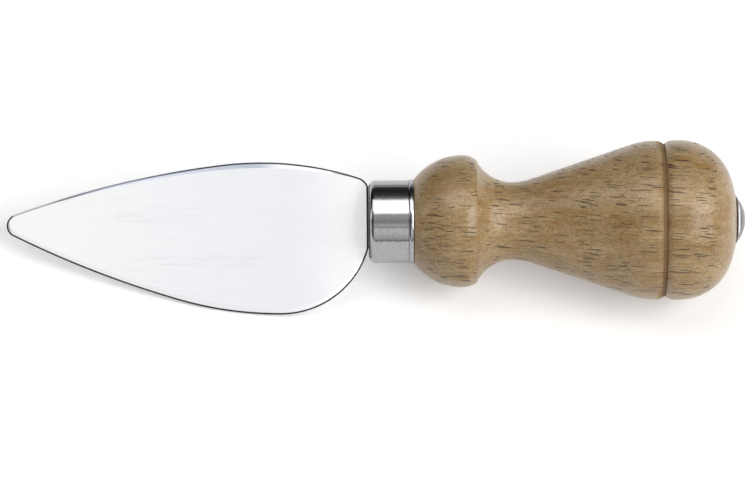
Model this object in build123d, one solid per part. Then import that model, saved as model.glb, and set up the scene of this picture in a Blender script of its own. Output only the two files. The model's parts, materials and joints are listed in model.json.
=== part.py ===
from build123d import *
import math
import os

# Parmesan knife: an almond blade on a through tang, a drawn ferrule, a turned beech handle and a domed
# washer over which the end of the tang is riveted.
#
# The knife is drawn along X, with the blade's shoulder at X = 0, the tip towards -X and the butt towards +X.
# The blade lies in the XY plane with its spine towards +Y, and the handle is turned about the X axis.
# Last of all, every piece is laid down in one move, the way the knife comes to rest on a table.

# Blade: stainless sheet, ground thinner in a narrow band round both faces, with rounded edges.
blade_length = 108.6
blade_thickness = 1.5
edge_round = 0.35
edge_steps = 4
tip_radius = 3.5
tip_drop = 0.6
spine_radius = 282.6
crown_x = -32.7
crown_height = 18.05
crown_radius = 95.1
corner_radius = 4.5
corner_cut = 0.2
belly_x = -26.2
belly_depth = 27.7
heel_radius = 27.2
belly_radius = 109.8
belly_front_radius = 302.6

# Ground band: its inner outline runs out towards the shoulder and along the spine at the tip.
grind_width = 1.75
grind_lean = 10.0
tip_grind_width = 0.9
tip_grind_shift = 0.6
grind_crown_radius = 137.0
grind_heel_radius = 27.4

# Tang: one piece with the blade, ground a little thinner. It tapers to the butt, where its end is
# hammered wide in the washer.
tang_width = 12.0
tang_end_width = 8.0
tang_thickness = 1.4
head_spread = 0.5
head_depth = 0.8

# Ferrule: a cup drawn from thin sheet, with a rounded front edge and a rolled lip against the wood.
ferrule_radius = 12.5
ferrule_length = 13.7
ferrule_wall = 0.6
ferrule_corner_radius = 2.0
lip_height = 0.3
lip_length = 1.6

# Handle: one piece of beech, turned between centres.
bulb_front_radius = 12.8
bulb_x = 28.1
bulb_radius = 19.85
bulb_corner_x = 32.4
bulb_corner_radius = 18.3
neck_x = 43.1
neck_radius = 11.65
flare_start_radius = 17.5
flare_end_radius = 22.0
shoulder_radius = 23.85
groove_x = 88.6
groove_depth = 1.1
groove_half_width = 2.9
knob_radius = 23.95
dome_radius = 16.2
butt_x = 110.75
butt_radius = 40.0

# Rivet washer: a dome pressed from sheet, with a small flat land round its rim.
washer_radius = 7.1
washer_dome_radius = 10.1
washer_rim = 0.3
washer_land = 0.3
washer_wall = 1.4

# Clearances between the pieces.
tenon_clearance = 0.05
tenon_end_clearance = 0.2
slot_clearance = 0.1
seat_clearance = 0.2

# Weights in grams per cubic millimetre, and how closely the resting angles are found, in degrees.
steel_density = 0.00785
beech_density = 0.00065
angle_step = 0.001

# Places along the knife that follow from these sizes.
tenon_radius = ferrule_radius - ferrule_wall - tenon_clearance
shoulder_x = groove_x - groove_half_width
seat_radius = washer_radius + seat_clearance
seat_x = butt_x - butt_radius + math.sqrt(butt_radius**2 - seat_radius**2)
washer_centre_x = seat_x + washer_rim - math.sqrt(washer_dome_radius**2 - (washer_radius - washer_land) ** 2)
washer_top_x = washer_centre_x + washer_dome_radius
stem_x = washer_top_x - head_depth


def holding_centre(centre_a, reach_a, centre_b, reach_b, side):
    """The point at one reach from centre a and at another from centre b, on the given side of the line."""
    across = centre_b - centre_a
    along = (reach_a**2 - reach_b**2 + across.length**2) / (2 * across.length)
    off = math.sqrt(reach_a**2 - along**2)
    ahead = across.normalized()
    return centre_a + ahead * along + Vector(-ahead.Y, ahead.X) * (off * side)


def outward(centre, radius, inner):
    """The point where a circle touches the larger circle that holds it."""
    return centre + (centre - inner).normalized() * radius


def arc(start, end, centre, radius):
    """The short arc from start to end about a centre."""
    middle = centre + ((start + end) * 0.5 - centre).normalized() * radius
    return ThreePointArc(start, middle, end)


def blade_outline(grind, tip_grind, tip_shift, crown_arc, heel_arc):
    """The blade's outline as tangent arcs, drawn in by the width of the ground band."""
    crown = Vector(crown_x, crown_height - grind - crown_arc)
    heel = Vector(belly_x, grind - belly_depth + heel_arc)
    belly_arc = belly_radius - grind
    belly = Vector(belly_x, belly_radius - belly_depth)
    tip = Vector(tip_radius - blade_length, tip_shift - tip_drop)
    tip_arc = tip_radius - tip_grind
    spine_arc, front_arc = spine_radius - grind, belly_front_radius - grind

    spine = holding_centre(tip, spine_arc - tip_arc, crown, spine_arc - crown_arc, -1)
    front = holding_centre(tip, front_arc - tip_arc, belly, front_arc - belly_arc, 1)
    corner_x = corner_cut - corner_radius
    corner_reach = crown_arc - corner_radius
    corner = Vector(corner_x, crown.Y + math.sqrt(corner_reach**2 - (corner_x - crown_x) ** 2))

    corner_end = Vector(0, corner.Y + math.sqrt(corner_radius**2 - corner_x**2))
    corner_start = outward(corner, corner_radius, crown)
    spine_end = outward(crown, crown_arc, spine)
    spine_start = outward(tip, tip_arc, spine)
    front_start = outward(tip, tip_arc, front)
    front_end = outward(belly, belly_arc, front)
    lowest = Vector(belly_x, grind - belly_depth)
    heel_end = Vector(0, heel.Y - math.sqrt(heel_arc**2 - belly_x**2))
    return [
        arc(corner_end, corner_start, corner, corner_radius),
        arc(corner_start, spine_end, crown, crown_arc),
        arc(spine_end, spine_start, spine, spine_arc),
        ThreePointArc(spine_start, Vector(tip.X - tip_arc, tip.Y), front_start),
        arc(front_start, front_end, front, front_arc),
        arc(front_end, lowest, belly, belly_arc),
        arc(lowest, heel_end, heel, heel_arc),
        Line(heel_end, corner_end),
    ]


def rim_outline(inset):
    """The blade's outline on its rounded edge, where it is drawn in by the same inset all round."""
    return blade_outline(inset, inset, 0, crown_radius - inset, heel_radius - inset)


def face_outline():
    """The outline of the blade's flat face, inside the ground band."""
    return blade_outline(grind_width, tip_grind_width, tip_grind_shift, grind_crown_radius, grind_heel_radius)


def blade_levels():
    """The blade's outlines above its middle plane, as pairs of height and outline, from edge to face."""
    lean = math.radians(grind_lean)
    band_rise = (grind_width - edge_round * (1 - math.sin(lean))) * math.tan(lean)
    edge_centre = blade_thickness / 2 - band_rise - edge_round * math.cos(lean)
    levels = []
    for step in range(edge_steps + 1):
        turn = (math.pi / 2 - lean) * step / edge_steps
        inset = edge_round * (1 - math.cos(turn))
        levels.append((edge_centre + edge_round * math.sin(turn), rim_outline(inset)))
    return levels + [(blade_thickness / 2, face_outline())]


def tang_strip(start_x, end_x, clearance):
    """The tapering tang between two places along the knife, grown by a clearance on every side."""
    taper = (tang_width - tang_end_width) / 2 / stem_x
    start, end = (tang_width / 2 - taper * x + clearance for x in (start_x, end_x))
    corners = [(start_x, -start), (end_x, -end), (end_x, end), (start_x, start)]
    return extrude(make_face(Polyline(corners, close=True)), tang_thickness / 2 + clearance, both=True)


def rivet_head():
    """The hammered end of the tang, widening from its stem to past the washer's top."""
    top_x = washer_top_x + washer_wall
    spread = 2 * head_spread * (top_x - stem_x) / head_depth
    across = Rot(0, 90, 0)
    stem = Pos(stem_x, 0, 0) * across * Rectangle(tang_thickness, tang_end_width)
    top = Pos(top_x, 0, 0) * across * Rectangle(tang_thickness + spread, tang_end_width + spread)
    return loft([stem, top])


def make_blade():
    """The blade, lofted from face to face through its rounded edge, with its tang and rivet head."""
    upper = [Pos(0, 0, height) * make_face(outline) for height, outline in blade_levels()]
    lower = [Pos(0, 0, -height) * make_face(outline) for height, outline in blade_levels()]
    body = loft(lower[::-1] + upper, ruled=True)
    dome = Pos(washer_centre_x, 0, 0) * Sphere(washer_dome_radius)
    return body + tang_strip(-corner_radius, stem_x, 0) + (rivet_head() & dome)


def make_ferrule():
    """The ferrule, with a slot in its closed front that the tang passes through."""
    outer, inner = ferrule_radius, ferrule_radius - ferrule_wall
    front_corner, inner_corner = ferrule_corner_radius, ferrule_corner_radius - ferrule_wall
    lip_x = ferrule_length - lip_length
    section = [
        Line((0, 0), (0, outer - front_corner)),
        TangentArc((0, outer - front_corner), (front_corner, outer), tangent=(0, 1)),
        Line((front_corner, outer), (lip_x, outer)),
        ThreePointArc((lip_x, outer), (lip_x + lip_length / 2, outer + lip_height), (ferrule_length, outer)),
        Line((ferrule_length, outer), (ferrule_length, inner)),
        Line((ferrule_length, inner), (front_corner, inner)),
        Polyline((front_corner, inner), (ferrule_wall, inner - inner_corner), (ferrule_wall, 0)),
        Line((ferrule_wall, 0), (0, 0)),
    ]
    return revolve(make_face(section), Axis.X) - tang_strip(-ferrule_wall, 2 * ferrule_wall, slot_clearance)


def handle_section():
    """Half the handle's section, from its tenon over bulb, neck, flare, groove and knob to the washer's seat."""
    tenon_x = ferrule_wall + tenon_end_clearance
    tenon_bevel = ferrule_corner_radius - ferrule_wall
    bulb_front, bulb = (ferrule_length, bulb_front_radius), (bulb_x, bulb_radius)
    bulb_corner, neck = (bulb_corner_x, bulb_corner_radius), (neck_x, neck_radius)

    hollow = Vector(neck_x, neck_radius + flare_start_radius)
    swell = Vector(shoulder_x, shoulder_radius - flare_end_radius)
    across = swell - hollow
    slope = math.atan2(across.Y, across.X) + math.asin((flare_start_radius + flare_end_radius) / across.length)
    square = Vector(math.sin(slope), -math.cos(slope))
    flare_start, flare_end = hollow + square * flare_start_radius, swell - square * flare_end_radius

    shoulder, groove = (shoulder_x, shoulder_radius), (groove_x, shoulder_radius - groove_depth)
    knob = (groove_x + groove_half_width, knob_radius)
    butt_centre = Vector(butt_x - butt_radius, 0)
    dome_reach = butt_radius - dome_radius
    dome_x = butt_centre.X + math.sqrt(dome_reach**2 - (knob_radius - dome_radius) ** 2)
    dome_centre = Vector(dome_x, knob_radius - dome_radius)
    dome_end = outward(dome_centre, dome_radius, butt_centre)
    seat_edge = Vector(seat_x, seat_radius)
    return [
        Polyline((tenon_x, 0), (tenon_x, tenon_radius - tenon_bevel), (tenon_x + tenon_bevel, tenon_radius)),
        Polyline((tenon_x + tenon_bevel, tenon_radius), (ferrule_length, tenon_radius), bulb_front),
        TangentArc(bulb, bulb_front, tangent=(-1, 0)),
        TangentArc(bulb, bulb_corner, tangent=(1, 0)),
        TangentArc(neck, bulb_corner, tangent=(-1, 0)),
        TangentArc(neck, flare_start, tangent=(1, 0)),
        Line(flare_start, flare_end),
        TangentArc(shoulder, flare_end, tangent=(-1, 0)),
        TangentArc(shoulder, groove, tangent=(1, 0)),
        TangentArc(knob, groove, tangent=(-1, 0)),
        Line(knob, (dome_x, knob_radius)),
        TangentArc((dome_x, knob_radius), dome_end, tangent=(1, 0)),
        arc(dome_end, seat_edge, butt_centre, butt_radius),
        Polyline(seat_edge, (seat_x, 0), (tenon_x, 0)),
    ]


def make_handle():
    """The turned handle, with the slot that the tang is driven through."""
    turned = revolve(make_face(handle_section()), Axis.X)
    return turned - tang_strip(0, seat_x + washer_rim, slot_clearance)


def make_washer():
    """The washer, hollow underneath, with a slot and a countersink for the end of the tang."""
    centre = Vector(washer_centre_x, 0)
    inner_radius = washer_dome_radius - washer_wall
    land, hollow = Vector(seat_x + washer_rim, washer_radius - washer_land), seat_x - washer_centre_x
    top, inner_top = Vector(washer_top_x, 0), Vector(washer_top_x - washer_wall, 0)
    mouth = Vector(seat_x, math.sqrt(inner_radius**2 - hollow**2))
    section = [
        Polyline(mouth, (seat_x, washer_radius), (land.X, washer_radius), land),
        arc(land, top, centre, washer_dome_radius),
        Line(top, inner_top),
        arc(inner_top, mouth, centre, inner_radius),
    ]
    return revolve(make_face(section), Axis.X) - tang_strip(seat_x, stem_x, slot_clearance) - rivet_head()


def laid(roll, pitch):
    """The turn that rolls the knife about its length and then raises its butt, in degrees."""
    return Rot(0, -pitch, 0) * Rot(roll, 0, 0)


def balance_point(pieces):
    """The centre of mass of the whole knife."""
    weights = {name: piece.volume * densities[name] for name, piece in pieces.items()}
    moment = sum((piece.center(CenterOf.MASS) * weights[name] for name, piece in pieces.items()), Vector())
    return moment / sum(weights.values())


def angle_of_least(height, least, most):
    """The angle between two limits at which a height is least, found by golden section."""
    share = (math.sqrt(5) - 1) / 2
    while most - least > angle_step:
        lower, upper = most - share * (most - least), least + share * (most - least)
        least, most = (least, upper) if height(lower) < height(upper) else (lower, most)
    return (least + most) / 2


def low_point(outline):
    return outline.bounding_box().min.Z


def resting_turn(balance):
    """The turn that brings the balance point as near to the table as the handle and the blade allow."""
    handle = Compound([Rot(-90, 0, 0) * edge for piece in handle_section() for edge in piece.edges()])
    rim = Pos(0, 0, -blade_levels()[0][0]) * Compound(rim_outline(edge_round))
    face = Pos(0, 0, -blade_thickness / 2) * Compound(face_outline())

    def settled(pitch):
        """The least height of the balance point at one pitch, and the roll that gives it."""
        handle_low = low_point(laid(0, pitch) * handle)

        def height(roll):
            turn = laid(roll, pitch)
            blade_low = min(low_point(turn * rim) - edge_round, low_point(turn * face))
            return (turn * Pos(balance)).position.Z - min(handle_low, blade_low)

        roll = angle_of_least(height, 0, 60)
        return height(roll), roll

    pitch = angle_of_least(lambda angle: settled(angle)[0], 0, 15)
    return laid(settled(pitch)[1], pitch)


densities = {
    "blade": steel_density,
    "ferrule": steel_density,
    "handle": beech_density,
    "rivet_washer": steel_density,
}
pieces = {
    "blade": make_blade(),
    "ferrule": make_ferrule(),
    "handle": make_handle(),
    "rivet_washer": make_washer(),
}
turn = resting_turn(balance_point(pieces))
resting = {name: turn * piece for name, piece in pieces.items()}
box = Compound(list(resting.values())).bounding_box()
stand = Pos(-box.center().X, -box.center().Y, -box.min.Z)
os.makedirs("parts", exist_ok=True)
for name, piece in resting.items():
    export_step(stand * piece, f"parts/{name}.step")
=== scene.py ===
import json
import math

import bpy
from mathutils import Matrix, Vector

# A parmesan knife at rest on a white table: steel blade, drawn ferrule, lacquered beech handle and the
# domed washer on its butt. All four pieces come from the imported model, and are given their finish here.
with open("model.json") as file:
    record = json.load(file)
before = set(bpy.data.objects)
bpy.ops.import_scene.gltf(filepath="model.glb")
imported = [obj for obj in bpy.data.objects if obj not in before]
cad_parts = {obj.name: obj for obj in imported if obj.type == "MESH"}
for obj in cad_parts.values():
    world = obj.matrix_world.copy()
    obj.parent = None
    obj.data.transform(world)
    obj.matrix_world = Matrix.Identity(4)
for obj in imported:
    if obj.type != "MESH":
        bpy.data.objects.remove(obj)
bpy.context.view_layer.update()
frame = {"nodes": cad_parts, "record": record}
for piece in frame["nodes"].values():
    piece.select_set(False)


# The knife's own directions as it lies. The mount on the blade's upper face gives them: its axis stands
# square on the blade, and its place on the knife's drawing is known, measured from the blade's shoulder.
mount = frame["record"]["mounts"][0]
mount_place = Vector((-0.045, -0.004, 0.00075))
off_blade = Vector(mount["axis"]).normalized()
to_butt = Vector((0, 1, 0)).cross(off_blade).normalized()
to_spine = off_blade.cross(to_butt)
knife_turn = Matrix((to_butt, to_spine, off_blade)).transposed()
shoulder = Vector(mount["pos_m"]) - knife_turn @ mount_place


# The camera looks square at the blade from far off, with the knife a little above the middle of the
# picture and its butt raised by a third of a degree.
camera_distance = 1.71
picture_width = 0.2250
film_width = 36
camera_roll = math.radians(0.3535)
picture_middle = Vector((0.00186, -0.00848, 0))

camera = bpy.data.cameras.new("camera")
camera.sensor_width = film_width
camera.lens = film_width * camera_distance / picture_width
camera.clip_end = 20
camera_object = bpy.data.objects.new("camera", camera)
bpy.context.scene.collection.objects.link(camera_object)
aim = shoulder + knife_turn @ picture_middle
camera_turn = knife_turn.to_4x4() @ Matrix.Rotation(-camera_roll, 4, "Z")
camera_object.matrix_world = Matrix.Translation(aim + off_blade * camera_distance) @ camera_turn
bpy.context.scene.camera = camera_object
bpy.context.scene.view_settings.view_transform = "Standard"


class Signal:
    """A value in a material. Sums with it add Math nodes, and node() adds a node of any other kind."""

    def __init__(self, socket):
        self.socket = socket

    def node(self, kind, settings, values, out=0):
        """Adds a node, sets it, and gives its open sockets, by name or number, their values or links."""
        tree = self.socket.id_data
        made = tree.nodes.new(kind)
        stops = settings.pop("stops", ())
        for name, value in settings.items():
            setattr(made, name, value)
        for number, (place, colour) in enumerate(stops):
            ramp = made.color_ramp.elements
            stop = ramp[number] if number < 2 else ramp.new(place)
            stop.position, stop.color = place, (*colour, 1)
        sockets = [socket for socket in made.inputs if socket.enabled]
        for key, value in values.items():
            socket = sockets[key] if isinstance(key, int) else next(s for s in sockets if s.name == key)
            if isinstance(value, Signal):
                tree.links.new(value.socket, socket)
            else:
                socket.default_value = value
        return Signal([socket for socket in made.outputs if socket.enabled][out])

    def maths(self, operation, *numbers):
        values = {place: number for place, number in enumerate((self, *numbers))}
        return self.node("ShaderNodeMath", {"operation": operation}, values)

    def __add__(self, other):
        return self.maths("ADD", other)

    def __sub__(self, other):
        return self.maths("SUBTRACT", other)

    def __mul__(self, other):
        return self.maths("MULTIPLY", other)

    def __rsub__(self, other):
        return self.maths("MULTIPLY", -1).maths("ADD", other)

    __radd__ = __add__
    __rmul__ = __mul__

    def between(self, low, high):
        """Rises smoothly from 0 at one value to 1 at another."""
        values = {"Value": self, "From Min": low, "From Max": high, "To Min": 0.0, "To Max": 1.0}
        return self.node("ShaderNodeMapRange", {"interpolation_type": "SMOOTHSTEP"}, values)

    def within(self, starts, ends):
        """Rises from 0 to 1 over one stretch of values, and falls back over a later one."""
        return self.between(*starts) * (1 - self.between(*ends))

    def towards(self, direction):
        """How far a vector goes in a direction."""
        return self.node("ShaderNodeVectorMath", {"operation": "DOT_PRODUCT"}, {0: self, 1: direction})

    def part(self, number):
        """The X, Y or Z part of a vector."""
        return self.node("ShaderNodeSeparateXYZ", {}, {0: self}, out=number)

    def stretched(self, x, y, z):
        """A vector divided by a length of its own in each direction."""
        return self.node("ShaderNodeVectorMath", {"operation": "DIVIDE"}, {0: self, 1: (x, y, z)})

    def noise(self, detail=2.0, roughness=0.5):
        values = {"Vector": self, "Scale": 1.0, "Detail": detail, "Roughness": roughness}
        return self.node("ShaderNodeTexNoise", {}, values)

    def tint(self, colour, other):
        """One colour turning into another as this value goes from 0 to 1."""
        values = {"Factor": self, "A": colour, "B": other}
        return self.node("ShaderNodeMix", {"data_type": "RGBA"}, values)


def emptied(owner):
    """The node tree of a material or world with nothing in it but an output, and that output."""
    owner.use_nodes = True
    owner.node_tree.nodes.clear()
    kind = "ShaderNodeOutputWorld" if isinstance(owner, bpy.types.World) else "ShaderNodeOutputMaterial"
    return owner.node_tree, owner.node_tree.nodes.new(kind)


# The table: a plain white sheet. What the camera and the metal see of it is lifted to white, and the
# knife's shadow stays on it.
table_size = 8.0
table_white = 0.9
table_lift = 0.275

bpy.ops.mesh.primitive_plane_add(size=table_size, location=(0, 0, 0))
table = bpy.context.object
table.name = "table"
table.select_set(False)
table_finish = bpy.data.materials.new("white_table")
tree, output = emptied(table_finish)
rays = tree.nodes.new("ShaderNodeLightPath").outputs
lift = Signal(rays["Is Camera Ray"]) + Signal(rays["Is Glossy Ray"]) + Signal(rays["Is Transmission Ray"])
glow = lift.node("ShaderNodeEmission", {}, {"Color": (1, 1, 1, 1), "Strength": lift * table_lift})
sheet = lift.node("ShaderNodeBsdfDiffuse", {}, {"Color": (table_white, table_white, table_white, 1)})
tree.links.new(glow.node("ShaderNodeAddShader", {}, {0: glow, 1: sheet}).socket, output.inputs["Surface"])
table.data.materials.append(table_finish)


# The light: a large soft box to the right of the line of sight, and a weaker one above it. The camera sees a
# white room. The metal sees the room darker in places, which gives it its dark and light bands, and darker
# again in a strip on the tip's side.
light_distance = 3.0
room_level = 0.27
room_top = 2.5
room_left = 0.12
left_starts, left_ends = (-0.92, -0.84), (-0.46, -0.40)

# How light the metal sees the room at each angle about the knife, in degrees from the line of sight, with
# the spine's side counted up and the belly's side down.
room_seen = ((-180, 0.5), (-59, 0.25), (-53.5, 0.25), (-51.5, 0.68), (-30, 1.1), (-20, 1.1), (-17, 0.6),
             (-14, 0.6), (-11, 0.95), (-4, 0.5), (3, 0.5), (7, 0.65), (20, 0.7), (23, 2.4), (61, 2.4),
             (65, 0.5), (76, 0.1), (92, 0.03), (110, 0.06), (114, 0.54), (180, 0.54))

world = bpy.data.worlds.new("studio")
bpy.context.scene.world = world
tree, output = emptied(world)
rays = tree.nodes.new("ShaderNodeLightPath").outputs
seen = Signal(rays["Is Camera Ray"]) + Signal(rays["Is Transmission Ray"])
mirrored = Signal(rays["Is Glossy Ray"])
way = Signal(tree.nodes.new("ShaderNodeTexCoord").outputs["Generated"])
angle = way.towards(to_spine).maths("ARCTAN2", way.towards(off_blade)) * (0.5 / math.pi) + 0.5
stops = [(place / 360 + 0.5, (grey / room_top,) * 3) for place, grey in room_seen]
room = angle.node("ShaderNodeValToRGB", {"stops": stops}, {"Fac": angle}) * room_top
room = room * (1 - way.towards(to_butt).within(left_starts, left_ends) * (1 - room_left))
strength = seen + mirrored * room + (1 - seen - mirrored) * room_level
backdrop = seen.node("ShaderNodeBackground", {}, {"Color": (1, 1, 1, 1), "Strength": strength})
tree.links.new(backdrop.socket, output.inputs["Surface"])


def soft_box(name, right, up, half_width, half_height, radiance):
    """A soft box at two angles from the line of sight, as wide and high as it looks, facing the knife."""
    way = Vector((math.sin(math.radians(right)), math.sin(math.radians(up)), 0))
    way.z = math.sqrt(1 - way.length_squared)
    halves = (math.radians(half_width), math.radians(half_height))
    box = bpy.data.lights.new(name, "AREA")
    box.shape = "RECTANGLE"
    box.size, box.size_y = (2 * light_distance * math.tan(half) for half in halves)
    box.energy = radiance * math.pi * box.size * box.size_y
    made = bpy.data.objects.new(name, box)
    bpy.context.scene.collection.objects.link(made)
    towards = knife_turn @ way
    across = (to_spine.cross(towards)).normalized()
    turn = Matrix((across, towards.cross(across), towards)).transposed().to_4x4()
    made.matrix_world = Matrix.Translation(aim + towards * light_distance) @ turn


soft_box("right_box", right=45, up=4, half_width=22, half_height=22, radiance=4.0)
soft_box("top_box", right=-18, up=43, half_width=30, half_height=17, radiance=1.3)


# Blade: stainless steel, ground to its outline and brushed along its length. A narrow flat is ground along
# the spine and painted darker and bluer as a painted reflection, the rim is rounded and painted dark as
# painted shade, and use has scratched the face lengthwise. The face is painted cooler towards the heel as
# painted shade and whiter at the heel as painted light. Its tang runs through the handle and is one piece
# with it.
steel_bright = (1.0, 1.0, 0.995, 1)
steel_cool = (0.85, 0.86, 0.90, 1)
steel_spine_reflection_dark = (0.33, 0.35, 0.41, 1)
steel_spine_reflection_pale = (0.58, 0.59, 0.62, 1)
steel_rim_shade = (0.03, 0.03, 0.035, 1)
steel_scratch = (0.68, 0.69, 0.71, 1)
steel_heel_light = (1.0, 1.0, 1.0, 1)
steel_metallic = 0.72
steel_roughness, brush_roughness = 0.32, 0.12

# The brushing and the scratches, each with its length along the knife, across it and through it, and the
# strips where scratches are thick: how far across each lies, and where along the blade it fades in and out.
# Lengths and places are in mm, with places counted from the blade's shoulder. A tone is the levels between
# which a mark shows, and a relief is its strength and its depth in metres.
mm = 0.001
brush_line, brush_tone, brush_relief = (11, 0.26, 0.5), (0.35, 0.75), (0.05, 0.0005)
brush_least, brush_more = 0.25, 0.55
scratch_line, scratch_tone, scratch_share = (9, 0.13, 0.5), (0.52, 0.66), 0.6
worn_elsewhere, worn_edge = 0.06, (0.5, 3)
worn_strips = ((2, (-82, -72), (-60, -48)), (-11.5, (-74, -60), (-40, -26)))

# How far a surface leans to the spine and how squarely it faces out tell the ground flat and its steep end
# from the face. The pairs after those are places along the blade, between which a look fades in: the flat's
# painted reflection, the face's painted shade towards the heel and the heel's painted light among them.
spine_lean, flat_facing, steep_facing = (0.02, 0.08), (0.988, 0.998), (0.9, 0.97)
flat_starts, flat_pales, flat_steepens = (-98, -88), (-34, -26), (-14, -9)
face_painted_shade, brushing_shows = (-105, -5), (-100, -50)
heel_whitens, heel_share, heel_metallic = (-26, -2), 0.8, (-16, -3)

# The arcs of the outline, as centre along and across the knife and radius, and where each one ends. Then
# where the rim's painted dark shade leaves the tang bare, how wide it is and how quickly it fades, and how
# faint it is along the spine, up to the places where it darkens.
tip_arc = (-105.1, -0.6, 3.5)
spine_arc = (-10.72, -263.26, 282.6)
crown_arc = (-32.7, -77.05, 95.1)
corner_arc = (-4.3, 8.98, 4.5)
front_arc = (28.63, 266.94, 302.6)
belly_arc = (-26.2, 82.1, 109.8)
heel_arc = (-26.2, -0.5, 27.2)
past_tip, tip_end, spine_end, crown_end = -120, -106.5, -43.8, -2.9
front_end, belly_end, on_tang = -57.4, -26.2, 1
above_tang, below_tang, tang_starts = (8, 9), (-7.5, -7), (1, 3)
rim_width, rim_fade, arc_fade = 0.52, 0.05, 0.1
faint_rim, rim_darkens, shoulder_rim = 0.6, (-80, -50), (-0.7, -0.55)


def finish(node, name, plain):
    """A new material on a piece: its shader, with the plain values set, and the place on the knife in mm."""
    material = bpy.data.materials.new(name)
    tree, output = emptied(material)
    shader = tree.nodes.new("ShaderNodeBsdfPrincipled")
    for socket, value in plain.items():
        shader.inputs[socket].default_value = value
    tree.links.new(shader.outputs["BSDF"], output.inputs["Surface"])
    slots = frame["nodes"][node].data.materials
    slots.clear()
    slots.append(material)
    place = Signal(tree.nodes.new("ShaderNodeTexCoord").outputs["Object"])
    on_knife = {"Location": shoulder, "Rotation": knife_turn.to_euler(), "Scale": (mm, mm, mm)}
    return shader, place.node("ShaderNodeMapping", {"vector_type": "TEXTURE"}, {"Vector": place, **on_knife})


def feed(shader, links):
    """Links what changes over the surface to the shader."""
    for socket, signal in links.items():
        shader.id_data.links.new(signal.socket, shader.inputs[socket])


def leaning(signal, way):
    """How far the surface faces a direction: 1 is square to it."""
    return Signal(signal.socket.id_data.nodes.new("ShaderNodeNewGeometry").outputs["Normal"]).towards(way)


def relief(height, strength, depth):
    """Marks raised by their height, as a surface normal."""
    return height.node("ShaderNodeBump", {}, {"Height": height, "Strength": strength, "Distance": depth})


shader, spot = finish("blade", "satin_steel", {})
along, across = spot.part(0), spot.part(1)


def outer(outline_arc, start, end):
    """The outermost strip of the blade on one arc of its outline, between two places along the knife."""
    x, y, radius = outline_arc
    inside = radius - rim_width
    away = ((along - x) * (along - x) + (across - y) * (across - y)).maths("SQRT")
    stretch = along.within((start - arc_fade, start + arc_fade), (end - arc_fade, end + arc_fade))
    return away.between(inside - rim_fade, inside + rim_fade) * stretch


lines = spot.stretched(*brush_line).noise(detail=4.0, roughness=0.6)
facing = leaning(spot, off_blade).maths("ABSOLUTE")
spine_side = leaning(spot, to_spine).between(*spine_lean)
ground = (1 - facing.between(*flat_facing)) * spine_side * along.between(*flat_starts)
steep = (1 - facing.between(*steep_facing)) * spine_side * along.between(*flat_steepens)
darkening = faint_rim + (1 - faint_rim) * along.between(*rim_darkens)
# The rounded rim is painted dark: painted shade for the dark surroundings it reflects, and at the shoulder's
# end for the gap against the ferrule.
rim = outer(tip_arc, past_tip, tip_end) + outer(spine_arc, tip_end, spine_end) * darkening
rim = rim + outer(crown_arc, spine_end, crown_end)
rim = rim + outer(corner_arc, crown_end, on_tang) * across.between(*above_tang)
rim = rim + outer(front_arc, tip_end, front_end) + outer(belly_arc, front_end, belly_end)
rim = rim + outer(heel_arc, belly_end, on_tang) * (1 - across.between(*below_tang))
rim = (rim + along.between(*shoulder_rim)).maths("MINIMUM", 1 - along.between(*tang_starts))
worn = worn_elsewhere
for middle, starts, ends in worn_strips:
    worn = worn + (1 - (across - middle).maths("ABSOLUTE").between(*worn_edge)) * along.within(starts, ends)
scratch = spot.stretched(*scratch_line).noise().between(*scratch_tone) * worn
brushing = lines.between(*brush_tone) * (brush_least + brush_more * along.between(*brushing_shows))
# The face is painted from bright at the tip to cooler towards the heel: painted shade. The brushing lines are
# the steel's own.
colour = along.between(*face_painted_shade).tint(steel_bright, steel_cool)
colour = brushing.tint(colour, steel_cool)
colour = (scratch * scratch_share).tint(colour, steel_scratch)
# The heel is painted whiter: painted light against the shade the ferrule casts on it.
colour = (along.between(*heel_whitens) * heel_share).tint(colour, steel_heel_light)
# The ground flat is painted darker and bluer, paler towards the heel: a painted reflection.
colour = ground.tint(colour, along.between(*flat_pales).tint(steel_spine_reflection_dark, steel_spine_reflection_pale))
colour = rim.tint(colour, steel_rim_shade)
metallic = (steel_metallic + (1 - steel_metallic) * along.between(*heel_metallic)) * (1 - steep)
roughness = steel_roughness + lines * brush_roughness
normal = relief(lines, *brush_relief)
feed(shader, {"Base Color": colour, "Metallic": metallic, "Roughness": roughness, "Normal": normal})


# Ferrule: a tube drawn from thin sheet metal and plated, its front turned in round the blade's shoulder and
# its back edge rolled to a lip. The plating is polished, with fine marks running round it and dull scuffs.
# Its flat front is painted pale and matt, a painted light for the blade's heel to reflect, and painted shade
# lies in a dark line in the crease before the lip and round the front's edge.
plate_bright = (0.385, 0.38, 0.395, 1)
plate_dull = (0.25, 0.245, 0.255, 1)
plate_front_light = (0.85, 0.85, 0.85, 1)
plate_dark_line = (0.02, 0.018, 0.018, 1)
plate_roughness, scuff_roughness, mark_roughness, matt_roughness = 0.07, 0.10, 0.04, 0.5
turned_mark, mark_tone, mark_share = (0.25, 6, 6), (0.45, 0.7), 0.35
scuff, scuff_tone, scuff_share = (1.1, 0.8, 0.8), (0.48, 0.72), 0.45
scuff_height, plate_relief = 0.5, (0.03, 0.0005)

# The painted shade line in the crease before the lip, the front painted pale as painted light, which reaches
# out to a radius, and the painted shade line round it. Front and line both end a little way along the tube.
lip_crease, lip_shade_edge, lip_shade_share = 12.1, (0.05, 0.35), 0.5
front_depth, front_radius = (0.05, 0.2), (10.3, 10.6)
line_depth, line_radius = (0.3, 0.5), (10.5, 10.9)


def from_axis(spot):
    """How far a place is from the knife's long axis."""
    return (spot.part(1) * spot.part(1) + spot.part(2) * spot.part(2)).maths("SQRT")


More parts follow.
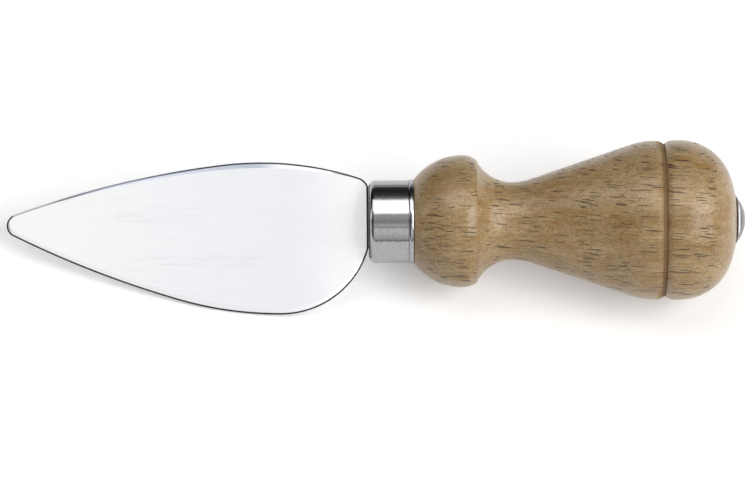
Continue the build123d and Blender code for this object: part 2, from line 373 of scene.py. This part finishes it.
shader, spot = finish("ferrule", "polished_plate", {"Metallic": 1.0})
along, radius = spot.part(0), from_axis(spot)
marks = spot.stretched(*turned_mark).noise(detail=3.0, roughness=0.6)
scuffs = spot.stretched(*scuff).noise(detail=5.0, roughness=0.7).between(*scuff_tone)
# Painted shade: a dark line in the crease before the lip.
lip_shade = 1 - (along - lip_crease).maths("ABSOLUTE").between(*lip_shade_edge)
# Painted light: the flat front painted pale, for the blade's heel to reflect.
front = (1 - along.between(*front_depth)) * (1 - radius.between(*front_radius))
# Painted shade: a dark line round the front's edge, in the gap by the blade's shoulder.
edge = (1 - along.between(*line_depth)) * radius.between(*line_radius)
colour = (scuffs * scuff_share + marks.between(*mark_tone) * mark_share).tint(plate_bright, plate_dull)
colour = (lip_shade * lip_shade_share).tint(colour, plate_dark_line)
colour = front.tint(colour, plate_front_light)
colour = edge.tint(colour, plate_dark_line)
roughness = plate_roughness + scuffs * scuff_roughness + marks * mark_roughness + front * matt_roughness
normal = relief(marks + scuffs * scuff_height, *plate_relief)
feed(shader, {"Base Color": colour, "Roughness": roughness, "Normal": normal})


# Handle: one piece of beech, turned to a bulb, a neck and a flare that ends in a round knob, with a groove
# cut before the knob, and lacquered. Beech shows short dark ray flecks along its grain and few other marks.
beech_pale = (0.535, 0.382, 0.200, 1)
beech_dark = (0.180, 0.110, 0.040, 1)
beech_orange = (0.29, 0.145, 0.032, 1)
fleck_brown = (0.032, 0.012, 0.003, 1)
groove_brown = (0.12, 0.060, 0.020, 1)
lacquer = {"IOR": 1.5, "Specular IOR Level": 0.36}
lacquer_roughness, fibre_roughness, fleck_roughness, flank_roughness = 0.16, 0.12, 0.2, 0.5
fibre_height, pore_height, grain_relief = 0.4, 0.4, (0.4, 0.0002)

# The grain's marks, each with its length along the knife, across it and through it, the levels between which
# it shows, and its share of the tone.
bend, grain_sway = (45, 30, 30), 1.6
year_ring, ring_tone, ring_share = (70, 5, 9), (0.3, 0.7), 0.2
streak, streak_tone, streak_share = (14, 0.7, 0.7), (0.35, 0.65), 0.22
fibre, fibre_tone, fibre_share = (3.2, 0.30, 0.30), (0.38, 0.62), 0.30
pore, pore_tone, pore_share = (0.7, 0.34, 0.34), (0.38, 0.62), 0.28
cloud, cloud_tone, cloud_share = (16, 4, 6), (0.45, 0.7), 0.55

# The flecks: the room that each takes up, how its ray leans through the wood and slopes along it, how far
# they are scattered along the grain, how many of them show, and how large and dark each is. End grain, which
# faces along the knife, shows none.
fleck_cell = (9.0, 0.52, 3.0)
ray_lean, ray_slope = 0.06, 0.07
fleck_scatter, scatter_size = 11, (60, 2.2, 5)
flecks_shown = (0.47, 0.49)
fleck_size, fleck_palest, fleck_share = (0.28, 0.355), 0.6, 0.95
end_grain = (0.6, 0.85)

# The groove's flank on the flare's side, down to its bottom, and where its brown deepens.
flank_starts, flank_ends, brown_deepens = (85.6, 87.0), (88.7, 89.0), (87.0, 87.7)
groove_palest, groove_share = 0.15, 0.8

shader, spot = finish("handle", "lacquered_beech", lacquer)
along = spot.part(0)
sway = (spot.stretched(*bend).noise(detail=1.0) - 0.5) * 2 * grain_sway
bent = spot.node("ShaderNodeCombineXYZ", {}, {"X": along, "Y": spot.part(1) + sway, "Z": spot.part(2)})
rings = bent.stretched(*year_ring).noise()
streaks = bent.stretched(*streak).noise()
fibres = bent.stretched(*fibre).noise(detail=3.0, roughness=0.65)
pores = bent.stretched(*pore).noise(roughness=0.6)
clouds = bent.stretched(*cloud).noise(detail=3.0, roughness=0.6)
scattered = along + (spot.stretched(*scatter_size).noise(detail=1.0) - 0.5) * fleck_scatter
rays = bent.part(1) + bent.part(2) * ray_lean + along * ray_slope
cells = bent.node("ShaderNodeCombineXYZ", {}, {"X": scattered, "Y": rays, "Z": bent.part(2)})
cells = cells.stretched(*fleck_cell)
cell = {"Vector": cells, "Scale": 1.0}
gap, pick = (cells.node("ShaderNodeTexVoronoi", {"feature": "F1"}, cell, out) for out in (0, 1))
fleck = (1 - gap.between(*fleck_size)) * (1 - pick.part(0).between(*flecks_shown))
fleck = fleck * (fleck_palest + (1 - fleck_palest) * pick.part(1))
fleck = fleck * (1 - leaning(spot, to_butt).maths("ABSOLUTE").between(*end_grain))
flank = along.within(flank_starts, flank_ends)
groove = flank * (groove_palest + (1 - groove_palest) * along.between(*brown_deepens))
tone = rings.between(*ring_tone) * ring_share + streaks.between(*streak_tone) * streak_share
tone = tone + fibres.between(*fibre_tone) * fibre_share + pores.between(*pore_tone) * pore_share
colour = tone.tint(beech_pale, beech_dark)
colour = (clouds.between(*cloud_tone) * cloud_share).tint(colour, beech_orange)
colour = (fleck * fleck_share).tint(colour, fleck_brown)
colour = (groove * groove_share).tint(colour, groove_brown)
roughness = lacquer_roughness + fibres * fibre_roughness + fleck * fleck_roughness + flank * flank_roughness
normal = relief(fibres * fibre_height + pores * pore_height - fleck, *grain_relief)
feed(shader, {"Base Color": colour, "Roughness": roughness, "Normal": normal})


# Washer: a disc pressed from steel into a dome, plated, and seated in the knob. The tang comes through it and
# is hammered wide over it. A painted highlight lies as a bright ring near its foot on the upper side, with a
# dark line outside it at the foot and a painted dark reflection inside it.
washer_grey = (0.25, 0.245, 0.255, 1)
washer_bright = (0.85, 0.85, 0.85, 1)
washer_roughness, tarnish_roughness = 0.16, 0.12
tarnish, tarnish_tone, tarnish_share, tarnish_relief = (1.5, 1.2, 1.2), (0.45, 0.7), 0.6, (0.08, 0.0005)

# The painted highlight ring's inner and outer edge and how far up it starts, the dark line outside it at the
# foot and the painted dark reflection inside it.
ring_starts, ring_ends, upper_side = (5.7, 5.9), (6.4, 6.5), (4.2, 5.2)
foot_dark_line, inner_reflection_starts, inner_reflection_ends, inner_share = (6.6, 6.75), (5.3, 5.4), (5.5, 5.7), 0.7

shader, spot = finish("rivet_washer", "polished_washer", {"Metallic": 1.0})
radius = from_axis(spot)
marks = spot.stretched(*tarnish).noise(detail=4.0, roughness=0.65)
# Painted highlight: a bright ring on the upper side of the foot.
ring = radius.within(ring_starts, ring_ends) * spot.part(2).between(*upper_side)
# A dark line at the foot, and inside the ring a painted dark reflection.
dark_lines = radius.between(*foot_dark_line) + radius.within(inner_reflection_starts, inner_reflection_ends) * inner_share
colour = (marks.between(*tarnish_tone) * tarnish_share).tint(washer_grey, plate_dull)
colour = ring.tint(colour, washer_bright)
colour = dark_lines.tint(colour, plate_dark_line)
roughness = washer_roughness + marks * tarnish_roughness
normal = relief(marks, *tarnish_relief)
feed(shader, {"Base Color": colour, "Roughness": roughness, "Normal": normal})
